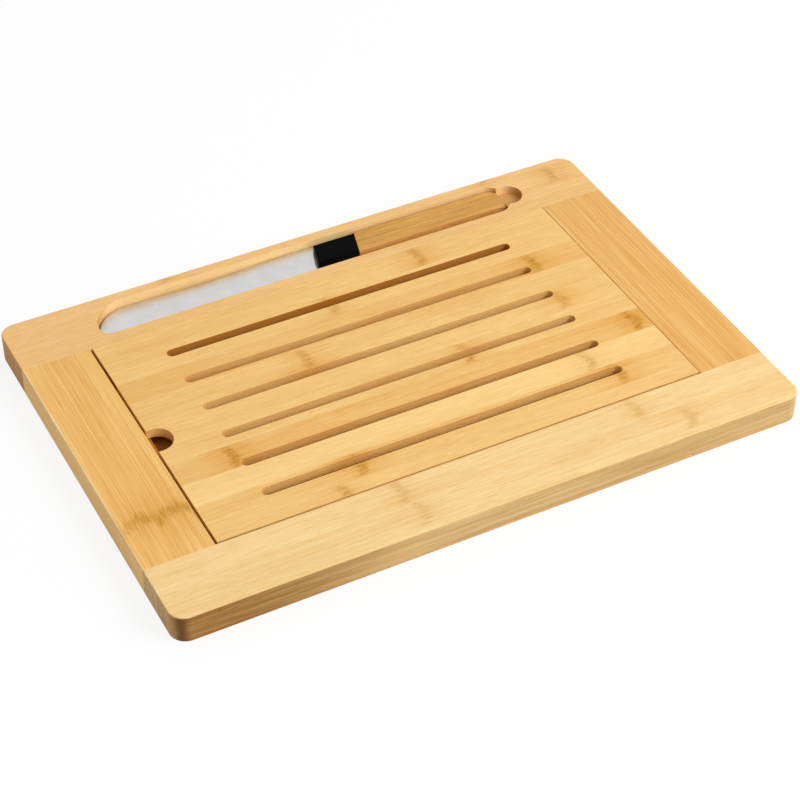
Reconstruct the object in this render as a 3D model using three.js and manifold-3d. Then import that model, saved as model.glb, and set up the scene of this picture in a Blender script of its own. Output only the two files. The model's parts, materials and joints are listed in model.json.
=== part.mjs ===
// A bamboo bread board. Four frame pieces stand round a shallow crumb tray, a slotted grid lies
// over the tray and lifts out, and a bread knife lies in a pocket along the back rail.
// Millimetres, +Z up. X runs along the board, Y from its front to its back, and the origin is the
// middle of its underside.
import * as THREE from 'three';
import { mergeVertices } from 'three/addons/utils/BufferGeometryUtils.js';
import loadManifold from 'manifold-3d';

const wasm = await loadManifold();
wasm.setup();

// The board and its frame
const BOARD_LENGTH = 400;
const BOARD_DEPTH = 275;
const BOARD_THICKNESS = 18;
const BOARD_CORNER_RADIUS = 10;
const BOARD_ARRIS_RADIUS = 1.4;
const STILE_WIDTH = 43;
const LEDGE_WIDTH = 4;

// The dowels that join each stile to the rails
const DOWEL_RADIUS = 3;
const DOWEL_LENGTH = 30;
const DOWEL_SPACING = 20;
const DOWEL_CLEARANCE = 0.3;

// The tray's floor, a panel let into the frame from below
const FLOOR_THICKNESS = 4.5;
const FLOOR_RECESS = 0.5;
const FLOOR_OVERLAP = 8;
const FLOOR_CLEARANCE = 0.3;

// The grid that lies on the frame's ledge
const GRID_THICKNESS = 6.5;
const GRID_SIDE_CLEARANCE = 0.5;
const GRID_END_CLEARANCE = 0.8;
const GRID_ARRIS = 0.4;
const SLOT_WIDTH = 6.5;
const SLOT_PITCH = 27.1;
const SLOT_END_MARGIN = 38.7;
const SLOT_SIDE_MARGIN = 20;
const NOTCH_RADIUS = 10;
const NOTCH_REACH = 13.5;

// The knife, measured from its tip along its middle line
const BLADE_THICKNESS = 1.6;
const TIP_SWEEP_LENGTH = 23.5;
const TIP_CORNER_RADIUS = 5.6;
const EDGE_GRIND_WIDTH = 4.5;
const EDGE_THICKNESS = 0.4;
const SCALLOP_PITCH = 7;
const SCALLOP_DEPTH = 0.9;
const TANG_WIDTH = 9;
const TANG_END_MARGIN = 30.5;
const TANG_CLEARANCE = 0.3;
const FERRULE_LENGTH = 28.5;
const FERRULE_INSET = 0.4;
const FERRULE_NOSE = 2.2;
const HEEL_ENTRY = 0.5;
const FERRULE_SLANT_DEGREES = 15.5;
const HANDLE_LENGTH = 106.5;
const HANDLE_WIDTH = 26.4;
const HANDLE_THICKNESS = 11.6;
const HANDLE_END_RADIUS = 9;
const HANDLE_BACK_RADIUS = 1.8;
const HANDLE_FACET_WIDTH = 7.2;
const HANDLE_FACET_DROP = 4.6;
const HANDLE_JOIN_GAP = 0.2;

// The pocket that the knife lies in
const POCKET_LEFT_MARGIN = 56.5;
const POCKET_RIGHT_MARGIN = 60;
const POCKET_FRONT_WALL = 8.2;
const POCKET_BACK_WALL = 7.2;
const POCKET_CLEARANCE = 1.1;
const HANDLE_DEPTH_BELOW_TOP = 2.4;
const SCOOP_RADIUS = 9.7;
const SCOOP_REACH = 13;
const SCOOP_DEPTH = 6;

// The gap left under every piece that rests on another, and how far a cut runs past what it cuts
const SEAT_GAP = 0.3;
const CUT_OVERRUN = 5;

// Counts of straight steps in round stretches
const ARC_STEPS = 6;
const ARRIS_STEPS = 3;
const ROUND_SIDES = 16;
const NOSE_STEPS = 12;
const SCALLOP_STEPS = 4;

// Sizes that follow from the ones above. The rails are as wide as the pocket and its two walls, and
// the blade takes up the length that the pocket's margins, the ferrule and the handle leave. It is as
// high as the handle is wide, so that both fit the pocket.
const RAIL_WIDTH = POCKET_FRONT_WALL + HANDLE_WIDTH + 2 * POCKET_CLEARANCE + POCKET_BACK_WALL;
const KNIFE_LENGTH = BOARD_LENGTH - POCKET_LEFT_MARGIN - POCKET_RIGHT_MARGIN;
const HANDLE_START = KNIFE_LENGTH - HANDLE_LENGTH;
const BLADE_LENGTH = HANDLE_START - FERRULE_LENGTH;
const BLADE_HEIGHT = HANDLE_WIDTH;

// Places that follow from the sizes
const FRAME_INNER_X = BOARD_LENGTH / 2 - STILE_WIDTH;
const FRAME_INNER_Y = BOARD_DEPTH / 2 - RAIL_WIDTH;
const TRAY_HALF_X = FRAME_INNER_X - LEDGE_WIDTH;
const TRAY_HALF_Y = FRAME_INNER_Y - LEDGE_WIDTH;
const FLOOR_HALF_X = TRAY_HALF_X + FLOOR_OVERLAP;
const FLOOR_HALF_Y = TRAY_HALF_Y + FLOOR_OVERLAP;
const FLOOR_TOP = FLOOR_RECESS + FLOOR_THICKNESS;
const GRID_HALF_X = FRAME_INNER_X - GRID_END_CLEARANCE;
const GRID_HALF_Y = FRAME_INNER_Y - GRID_SIDE_CLEARANCE;
const GRID_BOTTOM = BOARD_THICKNESS - GRID_THICKNESS;
const LEDGE_TOP = GRID_BOTTOM - SEAT_GAP;
const KNIFE_TIP_X = POCKET_LEFT_MARGIN - BOARD_LENGTH / 2;
const KNIFE_LINE_Y = BOARD_DEPTH / 2 - POCKET_BACK_WALL - POCKET_CLEARANCE - HANDLE_WIDTH / 2;
const KNIFE_MIDDLE_Z = BOARD_THICKNESS - HANDLE_DEPTH_BELOW_TOP - HANDLE_THICKNESS / 2;
const SLANT = Math.tan(THREE.MathUtils.degToRad(FERRULE_SLANT_DEGREES));

// Materials

function bambooMaterial(colour) {
  return new THREE.MeshStandardMaterial({ color: colour, roughness: 0.55, metalness: 0, flatShading: true });
}

function steelMaterial() {
  return new THREE.MeshStandardMaterial({ color: 0xd7d6d3, roughness: 0.3, metalness: 1, flatShading: true });
}

function blackPlasticMaterial() {
  return new THREE.MeshStandardMaterial({ color: 0x080808, roughness: 0.3, metalness: 0, flatShading: true });
}

// Solids

// A closed geometry as a solid that can be joined and cut.
function toSolid(geometry) {
  const bare = geometry.clone();
  bare.deleteAttribute('normal');
  bare.deleteAttribute('uv');
  const merged = mergeVertices(bare);
  return new wasm.Manifold(new wasm.Mesh({
    numProp: 3,
    vertProperties: Float32Array.from(merged.attributes.position.array),
    triVerts: Uint32Array.from(merged.index.array),
  }));
}

// A solid as a named mesh.
function toMesh(name, solid, material) {
  const { vertProperties, triVerts } = solid.getMesh();
  const geometry = new THREE.BufferGeometry();
  geometry.setAttribute('position', new THREE.BufferAttribute(vertProperties, 3));
  geometry.setIndex(new THREE.BufferAttribute(triVerts, 1));
  geometry.computeVertexNormals();
  const mesh = new THREE.Mesh(geometry, material);
  mesh.name = name;
  return mesh;
}

// A block between two opposite corners.
function block(low, high) {
  const size = new THREE.Vector3().subVectors(high, low);
  const middle = new THREE.Vector3().addVectors(high, low).multiplyScalar(0.5);
  const geometry = new THREE.BoxGeometry(size.x, size.y, size.z);
  geometry.translate(middle.x, middle.y, middle.z);
  return toSolid(geometry);
}

// A block centred on the Z axis, from one height to another.
function middleBlock(halfX, halfY, low, high) {
  return block(new THREE.Vector3(-halfX, -halfY, low), new THREE.Vector3(halfX, halfY, high));
}

// A flat outline carried straight up from one height to another, with its own origin at (x, y).
function prism(shape, low, high, x = 0, y = 0) {
  const geometry = new THREE.ExtrudeGeometry(shape, {
    depth: high - low, bevelEnabled: false, curveSegments: ARC_STEPS,
  });
  geometry.translate(x, y, low);
  return toSolid(geometry);
}

// A flat outline carried up with its upper and lower arrises eased, inside the outline.
function easedPrism(shape, low, high, arris, steps) {
  const geometry = new THREE.ExtrudeGeometry(shape, {
    depth: high - low - 2 * arris,
    bevelEnabled: true,
    bevelSize: arris,
    bevelThickness: arris,
    bevelOffset: -arris,
    bevelSegments: steps,
    curveSegments: ARC_STEPS,
  });
  geometry.translate(0, 0, low + arris);
  return toSolid(geometry);
}

// A section, drawn as (across, up), carried along X from one place to another.
function lengthwisePrism(section, from, to) {
  const geometry = new THREE.ExtrudeGeometry(section, {
    depth: to - from, bevelEnabled: false, curveSegments: ARC_STEPS,
  });
  geometry.rotateX(Math.PI / 2);
  geometry.rotateZ(Math.PI / 2);
  geometry.translate(from, 0, 0);
  return toSolid(geometry);
}

// Outlines

function roundedRectangle(halfX, halfY, radius) {
  const shape = new THREE.Shape();
  shape.absarc(halfX - radius, halfY - radius, radius, 0, Math.PI / 2);
  shape.absarc(radius - halfX, halfY - radius, radius, Math.PI / 2, Math.PI);
  shape.absarc(radius - halfX, radius - halfY, radius, Math.PI, 1.5 * Math.PI);
  shape.absarc(halfX - radius, radius - halfY, radius, 1.5 * Math.PI, 2 * Math.PI);
  return shape;
}

// A straight slot with round ends, along X.
function slotOutline(path, middleY) {
  const radius = SLOT_WIDTH / 2;
  const reach = GRID_HALF_X - SLOT_END_MARGIN - radius;
  path.absarc(reach, middleY, radius, -Math.PI / 2, Math.PI / 2);
  path.absarc(-reach, middleY, radius, Math.PI / 2, 1.5 * Math.PI);
  return path;
}

// The grid's outline: a rectangle with the finger notch in its left end, and as many slots as fit
// between the margins at its sides.
function gridOutline() {
  const halfX = GRID_HALF_X;
  const halfY = GRID_HALF_Y;
  const slotCount = Math.floor((2 * (halfY - SLOT_SIDE_MARGIN) - SLOT_WIDTH) / SLOT_PITCH) + 1;
  const shape = new THREE.Shape();
  shape.moveTo(-halfX, NOTCH_RADIUS);
  shape.lineTo(-halfX, halfY);
  shape.lineTo(halfX, halfY);
  shape.lineTo(halfX, -halfY);
  shape.lineTo(-halfX, -halfY);
  shape.lineTo(-halfX, -NOTCH_RADIUS);
  shape.absarc(NOTCH_REACH - NOTCH_RADIUS - halfX, 0, NOTCH_RADIUS, -Math.PI / 2, Math.PI / 2);
  for (let slot = 0; slot < slotCount; slot += 1) {
    shape.holes.push(slotOutline(new THREE.Path(), (slot - (slotCount - 1) / 2) * SLOT_PITCH));
  }
  return shape;
}

// The blade from above, tip at the left and cutting edge to the front, wider by a margin all round.
// Its back sweeps down to the tip in a quarter ellipse.
function bladeOutline(margin) {
  const half = BLADE_HEIGHT / 2 + margin;
  const sweepX = TIP_SWEEP_LENGTH + margin;
  const sweepY = BLADE_HEIGHT - TIP_CORNER_RADIUS + margin;
  const cornerY = TIP_CORNER_RADIUS - BLADE_HEIGHT / 2;
  const heel = BLADE_LENGTH + HEEL_ENTRY + margin;
  const shape = new THREE.Shape();
  shape.moveTo(heel - half * SLANT, -half);
  shape.lineTo(heel + half * SLANT, half);
  shape.absellipse(TIP_SWEEP_LENGTH, cornerY, sweepX, sweepY, Math.PI / 2, Math.PI, false, 0);
  shape.absarc(TIP_CORNER_RADIUS, cornerY, TIP_CORNER_RADIUS + margin, Math.PI, 1.5 * Math.PI);
  return shape;
}

// The row of shallow hollows ground into the cutting edge, as one strip to cut away.
function scallopOutline() {
  const edge = -BLADE_HEIGHT / 2;
  const first = TIP_CORNER_RADIUS + SCALLOP_PITCH / 2;
  const last = BLADE_LENGTH - BLADE_HEIGHT / 2 * SLANT - SCALLOP_PITCH;
  const count = Math.floor((last - first) / SCALLOP_PITCH);
  const shape = new THREE.Shape();
  shape.moveTo(first, edge - CUT_OVERRUN);
  shape.lineTo(first + count * SCALLOP_PITCH, edge - CUT_OVERRUN);
  for (let step = count * SCALLOP_STEPS; step >= 0; step -= 1) {
    const along = step / SCALLOP_STEPS;
    const rise = Math.abs(Math.sin(along * Math.PI));
    shape.lineTo(first + along * SCALLOP_PITCH, edge + SCALLOP_DEPTH * rise);
  }
  return shape;
}

// The knife's grip from above, from a slanted start to its rounded end, wider by a margin.
function gripOutline(start, end, margin) {
  const half = HANDLE_WIDTH / 2 + margin;
  const radius = HANDLE_END_RADIUS + margin;
  const turnX = end - HANDLE_END_RADIUS;
  const shape = new THREE.Shape();
  shape.moveTo(start - half * SLANT, -half);
  shape.lineTo(turnX, -half);
  shape.absarc(turnX, radius - half, radius, -Math.PI / 2, 0);
  shape.absarc(turnX, half - radius, radius, 0, Math.PI / 2);
  shape.lineTo(start + half * SLANT, half);
  return shape;
}

// A stretch of the knife from above, between two slanted ends.
function slantedStretch(start, end) {
  const half = HANDLE_WIDTH / 2 + CUT_OVERRUN;
  const shape = new THREE.Shape();
  shape.moveTo(start - half * SLANT, -half);
  shape.lineTo(end - half * SLANT, -half);
  shape.lineTo(end + half * SLANT, half);
  shape.lineTo(start + half * SLANT, half);
  return shape;
}

// The grip's section as (across, up): square to the back, and drawn in by facets to the front.
function gripSection(inset) {
  const front = inset - HANDLE_WIDTH / 2;
  const back = HANDLE_WIDTH / 2 - inset;
  const half = HANDLE_THICKNESS / 2 - inset;
  const radius = HANDLE_BACK_RADIUS;
  const shape = new THREE.Shape();
  shape.moveTo(front, half - HANDLE_FACET_DROP);
  shape.lineTo(front, HANDLE_FACET_DROP - half);
  shape.lineTo(front + HANDLE_FACET_WIDTH, -half);
  shape.absarc(back - radius, radius - half, radius, -Math.PI / 2, 0);
  shape.absarc(back - radius, half - radius, radius, 0, Math.PI / 2);
  shape.lineTo(front + HANDLE_FACET_WIDTH, half);
  return shape;
}

// The blade's section as (across, up), thinned to its cutting edge.
function bladeSection() {
  const front = -BLADE_HEIGHT / 2;
  const back = BLADE_HEIGHT / 2 + CUT_OVERRUN;
  const shape = new THREE.Shape();
  shape.moveTo(front, EDGE_THICKNESS / 2);
  shape.lineTo(front, -EDGE_THICKNESS / 2);
  shape.lineTo(front + EDGE_GRIND_WIDTH, -BLADE_THICKNESS / 2);
  shape.lineTo(back, -BLADE_THICKNESS / 2);
  shape.lineTo(back, BLADE_THICKNESS / 2);
  shape.lineTo(front + EDGE_GRIND_WIDTH, BLADE_THICKNESS / 2);
  return shape;
}

// The frame

// The whole board as one eased slab, which each frame piece takes its outer faces from.
function boardSlab() {
  const outline = roundedRectangle(BOARD_LENGTH / 2, BOARD_DEPTH / 2, BOARD_CORNER_RADIUS);
  return easedPrism(outline, 0, BOARD_THICKNESS, BOARD_ARRIS_RADIUS, ARRIS_STEPS);
}

// The room that the tray's floor needs in the frame's underside.
function floorRebate() {
  const halfX = FLOOR_HALF_X + FLOOR_CLEARANCE;
  const halfY = FLOOR_HALF_Y + FLOOR_CLEARANCE;
  return middleBlock(halfX, halfY, -CUT_OVERRUN, FLOOR_TOP);
}

// The middles of the dowels at one corner: sideX and sideY are -1 or 1.
function dowelPlaces(sideX, sideY) {
  const stileMiddle = BOARD_LENGTH / 2 - STILE_WIDTH / 2;
  return [-1, 1].map((turn) => new THREE.Vector3(
    sideX * (stileMiddle + turn * DOWEL_SPACING / 2),
    sideY * FRAME_INNER_Y,
    BOARD_THICKNESS / 2,
  ));
}

// A rod along Y, for a dowel and for its hole.
function rodAt(place, margin) {
  const radius = DOWEL_RADIUS + margin;
  const geometry = new THREE.CylinderGeometry(radius, radius, DOWEL_LENGTH + 2 * margin, ROUND_SIDES);
  geometry.translate(place.x, place.y, place.z);
  return toSolid(geometry);
}

function drillCorner(solid, sideX, sideY) {
  return dowelPlaces(sideX, sideY).reduce((rest, place) => rest.subtract(rodAt(place, DOWEL_CLEARANCE)), solid);
}

// A rail runs the board's whole length, with a ledge for the grid between the stiles.
function rail(side) {
  const reachX = BOARD_LENGTH / 2 + CUT_OVERRUN;
  const reachY = BOARD_DEPTH / 2 + CUT_OVERRUN;
  const band = side > 0
    ? block(new THREE.Vector3(-reachX, FRAME_INNER_Y, -CUT_OVERRUN),
      new THREE.Vector3(reachX, reachY, BOARD_THICKNESS + CUT_OVERRUN))
    : block(new THREE.Vector3(-reachX, -reachY, -CUT_OVERRUN),
      new THREE.Vector3(reachX, -FRAME_INNER_Y, BOARD_THICKNESS + CUT_OVERRUN));
  const ledgeNear = side * TRAY_HALF_Y;
  const ledgeFar = side * (FRAME_INNER_Y + CUT_OVERRUN);
  const ledge = block(
    new THREE.Vector3(-TRAY_HALF_X, Math.min(ledgeNear, ledgeFar), BOARD_ARRIS_RADIUS),
    new THREE.Vector3(TRAY_HALF_X, Math.max(ledgeNear, ledgeFar), LEDGE_TOP),
  );
  const solid = boardSlab().intersect(band).add(ledge).subtract(floorRebate());
  return drillCorner(drillCorner(solid, -1, side), 1, side);
}

// A stile stands between the rails, with a ledge for the grid along its inner side.
function stile(side) {
  const reachX = BOARD_LENGTH / 2 + CUT_OVERRUN;
  const inner = side * FRAME_INNER_X;
  const outer = side * reachX;
  const band = block(
    new THREE.Vector3(Math.min(inner, outer), -FRAME_INNER_Y, -CUT_OVERRUN),
    new THREE.Vector3(Math.max(inner, outer), FRAME_INNER_Y, BOARD_THICKNESS + CUT_OVERRUN),
  );
  const ledgeNear = side * TRAY_HALF_X;
  const ledgeFar = side * (FRAME_INNER_X + CUT_OVERRUN);
  const ledge = block(
    new THREE.Vector3(Math.min(ledgeNear, ledgeFar), -FRAME_INNER_Y, BOARD_ARRIS_RADIUS),
    new THREE.Vector3(Math.max(ledgeNear, ledgeFar), FRAME_INNER_Y, LEDGE_TOP),
  );
  const solid = boardSlab().intersect(band).add(ledge).subtract(floorRebate());
  return drillCorner(drillCorner(solid, side, -1), side, 1);
}

// The room that the knife needs: shallow under the blade, deep under the grip, and a round scoop
// past the grip's end for a fingertip.
function knifePocket() {
  const top = BOARD_THICKNESS + CUT_OVERRUN;
  const gripStart = BLADE_LENGTH - FERRULE_NOSE - POCKET_CLEARANCE;
  const bladeFloor = KNIFE_MIDDLE_Z - BLADE_THICKNESS / 2 - SEAT_GAP;
  const gripFloor = KNIFE_MIDDLE_Z - HANDLE_THICKNESS / 2 - SEAT_GAP;
  const scoopShape = new THREE.Shape();
  scoopShape.absarc(KNIFE_LENGTH + SCOOP_REACH - SCOOP_RADIUS, 0, SCOOP_RADIUS, 0, 2 * Math.PI);
  const gripShape = gripOutline(gripStart, KNIFE_LENGTH, POCKET_CLEARANCE);
  const scoopFloor = BOARD_THICKNESS - SCOOP_DEPTH;
  return prism(bladeOutline(POCKET_CLEARANCE), bladeFloor, top, KNIFE_TIP_X, KNIFE_LINE_Y)
    .add(prism(gripShape, gripFloor, top, KNIFE_TIP_X, KNIFE_LINE_Y))
    .add(prism(scoopShape, scoopFloor, top, KNIFE_TIP_X, KNIFE_LINE_Y));
}

function frontRail() {
  return toMesh('front_rail', rail(-1), bambooMaterial(0xf0cd96));
}

function backRail() {
  return toMesh('back_rail', rail(1).subtract(knifePocket()), bambooMaterial(0xedc181));
}

function leftStile() {
  return toMesh('left_stile', stile(-1), bambooMaterial(0xe6b06a));
}

function rightStile() {
  return toMesh('right_stile', stile(1), bambooMaterial(0xe3b06c));
}

function trayFloor() {
  const panel = middleBlock(FLOOR_HALF_X, FLOOR_HALF_Y, FLOOR_RECESS, FLOOR_TOP);
  return toMesh('tray_floor', panel, bambooMaterial(0xd9a766));
}

function dowels() {
  const meshes = [];
  for (const [sideX, nameX] of [[-1, 'left'], [1, 'right']]) {
    for (const [sideY, nameY] of [[-1, 'front'], [1, 'back']]) {
      dowelPlaces(sideX, sideY).forEach((place, index) => {
        const name = `dowel_${nameY}_${nameX}_${index === 0 ? 'inner' : 'outer'}`;
        meshes.push(toMesh(name, rodAt(place, 0), bambooMaterial(0xd8b27a)));
      });
    }
  }
  return meshes;
}

// The grid

function slottedGrid() {
  const solid = easedPrism(gridOutline(), GRID_BOTTOM, BOARD_THICKNESS, GRID_ARRIS, 1);
  return toMesh('slotted_grid', solid, bambooMaterial(0xf0c587));
}

// The knife, about its own middle plane, with its tip at the origin

// The narrow end of the blade that runs through the ferrule into the handle.
function tang(margin) {
  const half = TANG_WIDTH / 2 + margin;
  const thick = BLADE_THICKNESS / 2 + margin;
  return block(
    new THREE.Vector3(BLADE_LENGTH - FERRULE_NOSE, -half, -thick),
    new THREE.Vector3(KNIFE_LENGTH - TANG_END_MARGIN + margin, half, thick),
  );
}

function knifeBlade() {
  const leaf = prism(bladeOutline(0), -BLADE_THICKNESS / 2, BLADE_THICKNESS / 2)
    .intersect(lengthwisePrism(bladeSection(), -CUT_OVERRUN, BLADE_LENGTH + BLADE_HEIGHT))
    .subtract(prism(scallopOutline(), -BLADE_THICKNESS, BLADE_THICKNESS));
  return toMesh('knife_blade', leaf.add(tang(0)), steelMaterial());
}

// What is cut from the ferrule and the handle so that the blade and its tang fit inside.
function bladeRoom() {
  const thick = BLADE_THICKNESS / 2 + TANG_CLEARANCE;
  return prism(bladeOutline(TANG_CLEARANCE), -thick, thick).add(tang(TANG_CLEARANCE));
}

// The ferrule takes the grip's section, a little smaller, and ends in a low domed nose.
function knifeFerrule() {
  const sleeve = lengthwisePrism(gripSection(FERRULE_INSET), 0, KNIFE_LENGTH)
    .intersect(prism(slantedStretch(BLADE_LENGTH, HANDLE_START), -HANDLE_THICKNESS, HANDLE_THICKNESS));
  const dome = new THREE.SphereGeometry(1, 2 * NOSE_STEPS, NOSE_STEPS);
  dome.scale(FERRULE_NOSE, HANDLE_WIDTH / 2 - 2 * FERRULE_INSET, HANDLE_THICKNESS / 2 - 2 * FERRULE_INSET);
  dome.applyMatrix4(new THREE.Matrix4().makeShear(0, 0, SLANT, 0, 0, 0));
  dome.translate(BLADE_LENGTH, 0, 0);
  const solid = sleeve.add(toSolid(dome)).subtract(bladeRoom());
  return toMesh('knife_ferrule', solid, blackPlasticMaterial());
}

function knifeHandle() {
  const plan = gripOutline(HANDLE_START + HANDLE_JOIN_GAP, KNIFE_LENGTH, 0);
  const solid = lengthwisePrism(gripSection(0), 0, KNIFE_LENGTH + CUT_OVERRUN)
    .intersect(prism(plan, -HANDLE_THICKNESS, HANDLE_THICKNESS))
    .subtract(bladeRoom());
  return toMesh('knife_handle', solid, bambooMaterial(0xdaa356));
}

function knife() {
  const group = new THREE.Group();
  group.add(knifeBlade(), knifeFerrule(), knifeHandle());
  group.position.set(KNIFE_TIP_X, KNIFE_LINE_Y, KNIFE_MIDDLE_Z);
  return group;
}

const board = new THREE.Group();
board.add(frontRail(), backRail(), leftStile(), rightStile(), trayFloor(), ...dowels());
board.add(slottedGrid(), knife());

export default board;
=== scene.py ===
# %% [markdown]
# A bread board of bamboo with a crumb tray. A frame of two rails and two stiles stands round the
# tray, a slotted grid lies over it, and a bread knife rests in a pocket along the back rail. The
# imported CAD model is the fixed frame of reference. This lesson dresses it: it makes finer skins for
# the pieces that show, gives each piece its real finish, and then sets up the light and the camera.

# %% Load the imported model
import json
import math
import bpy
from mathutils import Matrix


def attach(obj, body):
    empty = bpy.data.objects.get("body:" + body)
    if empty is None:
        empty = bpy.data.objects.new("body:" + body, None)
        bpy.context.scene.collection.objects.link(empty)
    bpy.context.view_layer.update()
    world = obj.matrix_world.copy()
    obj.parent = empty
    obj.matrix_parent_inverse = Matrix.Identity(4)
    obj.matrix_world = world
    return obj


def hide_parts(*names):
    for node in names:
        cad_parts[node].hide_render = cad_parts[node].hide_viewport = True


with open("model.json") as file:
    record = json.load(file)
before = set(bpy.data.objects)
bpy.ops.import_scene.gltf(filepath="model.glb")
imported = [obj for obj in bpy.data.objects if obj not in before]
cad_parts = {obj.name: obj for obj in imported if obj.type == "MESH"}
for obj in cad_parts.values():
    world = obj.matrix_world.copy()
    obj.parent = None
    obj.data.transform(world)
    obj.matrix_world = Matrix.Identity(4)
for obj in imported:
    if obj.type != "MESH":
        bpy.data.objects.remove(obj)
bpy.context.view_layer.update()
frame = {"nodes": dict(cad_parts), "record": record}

from types import SimpleNamespace

import bmesh
import bpy
import numpy as np

# %% [markdown]
# The sizes are the CAD model's own, in millimetres. A piece that stands for a CAD node has to fill
# the same room as that node, so the same names and numbers are repeated here and nothing is
# measured off the meshes. Only the small rounded edges, the arrises, are new, and how the grid
# lies in its clearance.

# %% Sizes of the board, the tray and the grid
MM = 0.001
BOARD_X, BOARD_Y, BOARD_Z = 200.0, 137.5, 18.0
CORNER_RADIUS = 10.0
BOARD_ARRIS = 0.8
INNER_X, INNER_Y = 157.0, 93.5
LEDGE = 4.0
LEDGE_Z = 11.2
FLOOR_ROOM_X, FLOOR_ROOM_Y, FLOOR_Z = 161.3, 97.8, 5.0
DOWEL_ROOM_RADIUS, DOWEL_ROOM_REACH = 3.3, 15.3
DOWEL_X = (168.5, 188.5)
GRID_X, GRID_LOW_Z = 156.2, 11.5
GRID_LEFT, GRID_RIGHT, GRID_FRONT, GRID_BACK = -155.4, 156.65, -92.2, 93.3
GRID_ARRIS = 0.15
SLOT_WIDTH, SLOT_REACH, SLOT_PITCH, SLOT_COUNT = 6.5, 114.25, 27.1, 6
NOTCH_RADIUS, NOTCH_REACH = 10.0, 13.5
INNER_ARRIS = 0.15
ARRIS_STEPS, FINE_ARRIS_STEPS = 5, 3
CORNER_STEPS, DOWEL_STEPS, SCOOP_STEPS, SLOT_STEPS, NOTCH_STEPS = 16, 24, 48, 20, 36
OVERRUN = 5.0

# %% Sizes of the knife and its pocket
KNIFE_X, KNIFE_Y, KNIFE_Z = -143.5, 116.0, 9.8
KNIFE_LENGTH, BLADE_LENGTH, GRIP_START = 283.5, 148.5, 177.0
HALF_WIDTH, HALF_THICK, HALF_BLADE = 13.2, 5.8, 0.8
TIP_SWEEP, TIP_CORNER = 23.5, 5.6
GRIND_WIDTH, HALF_EDGE = 4.5, 0.2
SCALLOP_PITCH, SCALLOP_DEPTH, SCALLOP_FIRST, SCALLOP_COUNT = 7.0, 0.9, 9.1, 18
HEEL_ENTRY, HALF_TANG, TANG_END, TANG_ROOM = 0.5, 4.5, 253.0, 0.3
FERRULE_INSET, FERRULE_NOSE = 0.4, 2.2
SLANT = math.tan(math.radians(15.5))
END_RADIUS, BACK_ROUND, FACET_WIDTH, FACET_DROP = 9.0, 1.8, 7.2, 4.6
POCKET_GAP, SEAT_GAP, JOIN_GAP = 1.1, 0.3, 0.2
SCOOP_RADIUS, SCOOP_REACH, SCOOP_DEPTH = 9.7, 13.0, 6.0
TIP_STEPS, TURN_STEPS, END_STEPS = 32, 12, 12
print("grid slots", SLOT_COUNT, "knife", KNIFE_LENGTH, "mm")

# %% [markdown]
# Almost every piece here is a flat board with straight or round sides, so the first tools draw flat
# outlines. An outline runs anticlockwise. Its edge is then eased the way a router does it: a
# small profile is carried all the way round the outline.

# %% Outlines
LEAST_STEP = 1e-6


def arc(middle, radius, start, end, steps):
    """Points middle + radius (cos a, sin a), for angles a in even steps from start to end degrees.
    The radius may be a pair, for an ellipse along X and Y."""
    a = np.radians(np.linspace(start, end, steps + 1))
    return np.asarray(middle) + np.asarray(radius) * np.column_stack([np.cos(a), np.sin(a)])


def outline(*parts):
    """The parts one after another as one closed line, less each point that repeats the last one."""
    points = np.vstack([np.atleast_2d(part) for part in parts])
    step = np.linalg.norm(points - np.roll(points, 1, axis=0), axis=1)
    return points[step > LEAST_STEP]


def rectangle(x, y):
    """The four corners (x, y), (-x, y), (-x, -y), (x, -y)."""
    return np.array([(x, y), (-x, y), (-x, -y), (x, -y)], float)


def drawn_in(points, depth):
    """The outline moved inwards. With n and m the inward normals of a corner's two sides, the
    corner moves by depth (n + m) / (1 + n.m), so that each side stays parallel to itself."""
    along = np.roll(points, -1, axis=0) - points
    along /= np.linalg.norm(along, axis=1, keepdims=True)
    n = np.column_stack([-along[:, 1], along[:, 0]])
    m = np.roll(n, 1, axis=0)
    return points + depth * (n + m) / (1 + (n * m).sum(axis=1, keepdims=True))


def eased(low, high, radius, steps):
    """A wall's profile as (depth, height): a quarter circle out, straight up, a quarter circle in.
    The quarter circle is depth r (1 - cos a), height r sin a past the straight part."""
    a = np.linspace(0, np.pi / 2, steps + 1)
    turn = np.column_stack([radius * (1 - np.cos(a)), radius * np.sin(a)])
    foot = (turn * (1, -1) + (0, low + radius))[::-1]
    head = turn + (0, high - radius)
    return np.vstack([foot, head])


corner_x, corner_y = BOARD_X - CORNER_RADIUS, BOARD_Y - CORNER_RADIUS
board_line = outline(
    arc((corner_x, corner_y), CORNER_RADIUS, 0, 90, CORNER_STEPS),
    arc((-corner_x, corner_y), CORNER_RADIUS, 90, 180, CORNER_STEPS),
    arc((-corner_x, -corner_y), CORNER_RADIUS, 180, 270, CORNER_STEPS),
    arc((corner_x, -corner_y), CORNER_RADIUS, 270, 360, CORNER_STEPS),
)
print("board outline points", len(board_line))

# %% [markdown]
# An outline and a profile give a wall: ring after ring of points. Flat faces close it at the foot
# and at the head, with holes left where slots go through. A long tapering piece, such as the blade,
# is a skin over a stack of rings. Both end up as plain meshes, built from whole arrays.

# %% From arrays to meshes
SAME_POINT, HEIGHT_DIGITS = 1e-7, 6


def ring_faces(rings, around):
    """Face (i, j) joins points j and j + 1 of ring i with the same two of ring i + 1."""
    i, j = np.meshgrid(np.arange(rings - 1), np.arange(around), indexing="ij")
    k = (j + 1) % around
    corners = [i * around + j, i * around + k, (i + 1) * around + k, (i + 1) * around + j]
    return np.stack(corners, axis=-1).reshape(-1, 4)


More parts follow.
